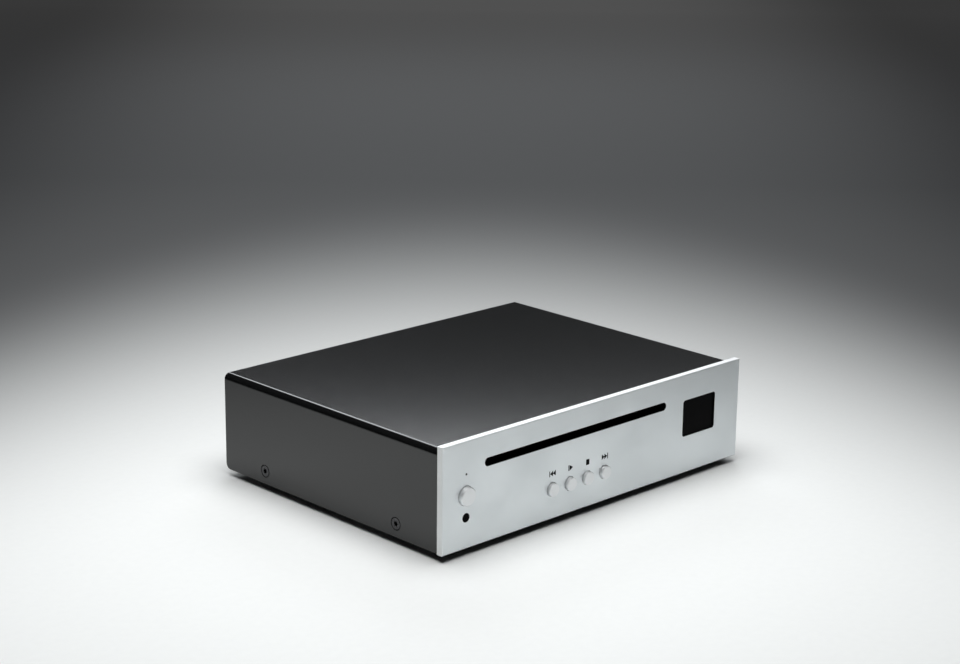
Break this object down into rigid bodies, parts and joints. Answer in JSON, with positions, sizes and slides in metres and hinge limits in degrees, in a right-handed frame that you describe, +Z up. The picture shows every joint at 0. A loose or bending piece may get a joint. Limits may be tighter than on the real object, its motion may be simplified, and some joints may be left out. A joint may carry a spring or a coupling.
{
  "type": "cd player",
  "caption": "Compact slot-loading disc player: silver front panel with round buttons and a display window, dark folded cover, inner disc mechanism.",
  "frame": {"origin": "on the supporting surface, under the middle of the outer box", "axes": "+X to the right seen from the front, front panel faces -Y, +Z up"},
  "size_m": [0.206, 0.1686, 0.055],
  "materials": {
    "panel_aluminium": "fine bead-blasted, clear anodised",
    "button_aluminium": "turned and bead-blasted",
    "cover_paint": "fine-textured matt dark powder coat",
    "zinc_sheet": "zinc-plated sheet",
    "dark_screw": "black oxide",
    "steel_screw": "zinc-plated",
    "foot_rubber": "matt",
    "dark_plastic": "moulded, matt",
    "smoked_window": "polished smoked acrylic",
    "display_glass": "unlit display",
    "light_pipe": "frosted clear plastic",
    "flock": "flocked",
    "circuit_board": "solder mask",
    "brass_post": "turned",
    "capacitor_sleeve": "shrink sleeve",
    "ribbon": "flat cable",
    "plated_brass": "plated",
    "steel_rod": "ground",
    "roller_rubber": "ground rubber",
    "gear_plastic": "natural acetal",
    "motor_can": "plated can",
    "lens_glass": "coated lens"
  },
  "bodies": {
    "housing": {"front_panel": "panel_aluminium", "top_cover": "cover_paint", "bottom_chassis": "zinc_sheet", "rear_panel": "cover_paint", "cover_screws": "dark_screw", "rear_panel_screws": "dark_screw", "front_panel_screws": "steel_screw", "foot_front_left": "foot_rubber", "foot_front_right": "foot_rubber", "foot_rear_left": "foot_rubber", "foot_rear_right": "foot_rubber", "tact_switches": "dark_plastic", "display_window": "smoked_window", "display_module": "display_glass", "infrared_window": "smoked_window", "infrared_receiver": "dark_plastic", "standby_light_pipe": "light_pipe", "slot_dust_strips": "flock", "front_board": "circuit_board", "front_board_posts": "brass_post", "board_screws": "steel_screw", "main_board": "circuit_board", "capacitors": "capacitor_sleeve", "circuit_chips": "dark_plastic", "ribbon_cable": "ribbon", "output_bodies": "dark_plastic", "output_shells": "plated_brass", "power_inlet": "dark_plastic", "mechanism_frame": "zinc_sheet", "mechanism_top_plate": "zinc_sheet", "mechanism_posts": "brass_post", "mechanism_screws": "steel_screw", "disc_guide": "dark_plastic", "drive_belt": "roller_rubber", "loading_motor": "motor_can", "traverse_deck": "zinc_sheet", "deck_dampers": "roller_rubber", "spindle_motor": "motor_can", "guide_rods": "steel_rod", "sled_motor": "motor_can", "clamp_arm_pin": "steel_rod"},
    "power_button": {"power_button": "button_aluminium"},
    "previous_button": {"previous_button": "button_aluminium"},
    "play_button": {"play_button": "button_aluminium"},
    "stop_button": {"stop_button": "button_aluminium"},
    "next_button": {"next_button": "button_aluminium"},
    "roller": {"roller_shaft": "steel_rod", "roller_rubber": "roller_rubber", "roller_gear": "gear_plastic"},
    "idler": {"idler_gear": "gear_plastic"},
    "motor_pulley": {"motor_pulley": "gear_plastic"},
    "turntable": {"turntable": "dark_plastic"},
    "clamp_arm": {"clamp_arm": "zinc_sheet"},
    "clamp_puck": {"clamp_puck": "gear_plastic"},
    "cam_slider": {"cam_slider": "gear_plastic"},
    "pickup": {"pickup_sled": "dark_plastic"},
    "lens": {"lens_holder": "dark_plastic", "objective_lens": "lens_glass"},
    "sled_gear": {"sled_gear": "gear_plastic"},
    "sled_motor_pinion": {"sled_motor_pinion": "plated_brass"}
  },
  "joints": [
    {"name": "power_button_press", "type": "slide", "parent": "housing", "child": "power_button", "axis": [0, 1, 0], "range_m": [0, 0.0005], "stiffness_N_per_m": 1500, "springref_m": -0.0004},
    {"name": "previous_button_press", "type": "slide", "parent": "housing", "child": "previous_button", "axis": [0, 1, 0], "range_m": [0, 0.0005], "stiffness_N_per_m": 1500, "springref_m": -0.0004},
    {"name": "play_button_press", "type": "slide", "parent": "housing", "child": "play_button", "axis": [0, 1, 0], "range_m": [0, 0.0005], "stiffness_N_per_m": 1500, "springref_m": -0.0004},
    {"name": "stop_button_press", "type": "slide", "parent": "housing", "child": "stop_button", "axis": [0, 1, 0], "range_m": [0, 0.0005], "stiffness_N_per_m": 1500, "springref_m": -0.0004},
    {"name": "next_button_press", "type": "slide", "parent": "housing", "child": "next_button", "axis": [0, 1, 0], "range_m": [0, 0.0005], "stiffness_N_per_m": 1500, "springref_m": -0.0004},
    {"name": "roller_spin", "type": "hinge", "parent": "housing", "child": "roller", "pos_m": [0, -0.06225, 0.0384], "axis": [1, 0, 0], "continuous": true},
    {"name": "idler_spin", "type": "hinge", "parent": "housing", "child": "idler", "pos_m": [0, -0.05193, 0.0384], "axis": [1, 0, 0], "continuous": true},
    {"name": "motor_pulley_spin", "type": "hinge", "parent": "housing", "child": "motor_pulley", "pos_m": [0, -0.02993, 0.0384], "axis": [1, 0, 0], "continuous": true},
    {"name": "turntable_spin", "type": "hinge", "parent": "housing", "child": "turntable", "pos_m": [-0.0149, -0.00425, 0.039], "axis": [0, 0, 1], "continuous": true},
    {"name": "cam_slide", "type": "slide", "parent": "housing", "child": "cam_slider", "axis": [0, 1, 0], "range_m": [0, 0.006]},
    {"name": "clamp_arm_tilt", "type": "hinge", "parent": "housing", "child": "clamp_arm", "pos_m": [-0.0149, 0.05675, 0.0466], "axis": [1, 0, 0], "range_deg": [0, 2.73]},
    {"name": "clamp_puck_spin", "type": "hinge", "parent": "clamp_arm", "child": "clamp_puck", "pos_m": [-0.0149, -0.00425, 0.045], "axis": [0, 0, 1], "continuous": true},
    {"name": "pickup_slide", "type": "slide", "parent": "housing", "child": "pickup", "axis": [0, 1, 0], "range_m": [0, 0.032]},
    {"name": "lens_focus", "type": "slide", "parent": "pickup", "child": "lens", "axis": [0, 0, 1], "range_m": [-0.0005, 0.0005], "stiffness_N_per_m": 60},
    {"name": "sled_gear_spin", "type": "hinge", "parent": "housing", "child": "sled_gear", "pos_m": [0.01822, 0.02475, 0.034], "axis": [0, 0, 1], "range_deg": [-611.5, 0]},
    {"name": "sled_motor_spin", "type": "hinge", "parent": "housing", "child": "sled_motor_pinion", "pos_m": [0.02984, 0.02475, 0.034], "axis": [0, 0, 1], "range_deg": [0, 2201]}
  ],
  "couplings": [
    {"joint": "idler_spin", "follows": "roller_spin", "ratio": -2.4},
    {"joint": "motor_pulley_spin", "follows": "roller_spin", "ratio": -8.64},
    {"joint": "clamp_puck_spin", "follows": "turntable_spin", "ratio": 1},
    {"joint": "clamp_arm_tilt", "follows": "cam_slide", "rad_per_m": 7.9265},
    {"joint": "sled_gear_spin", "follows": "pickup_slide", "rad_per_m": -333.33},
    {"joint": "sled_motor_spin", "follows": "pickup_slide", "rad_per_m": 1200}
  ]
}
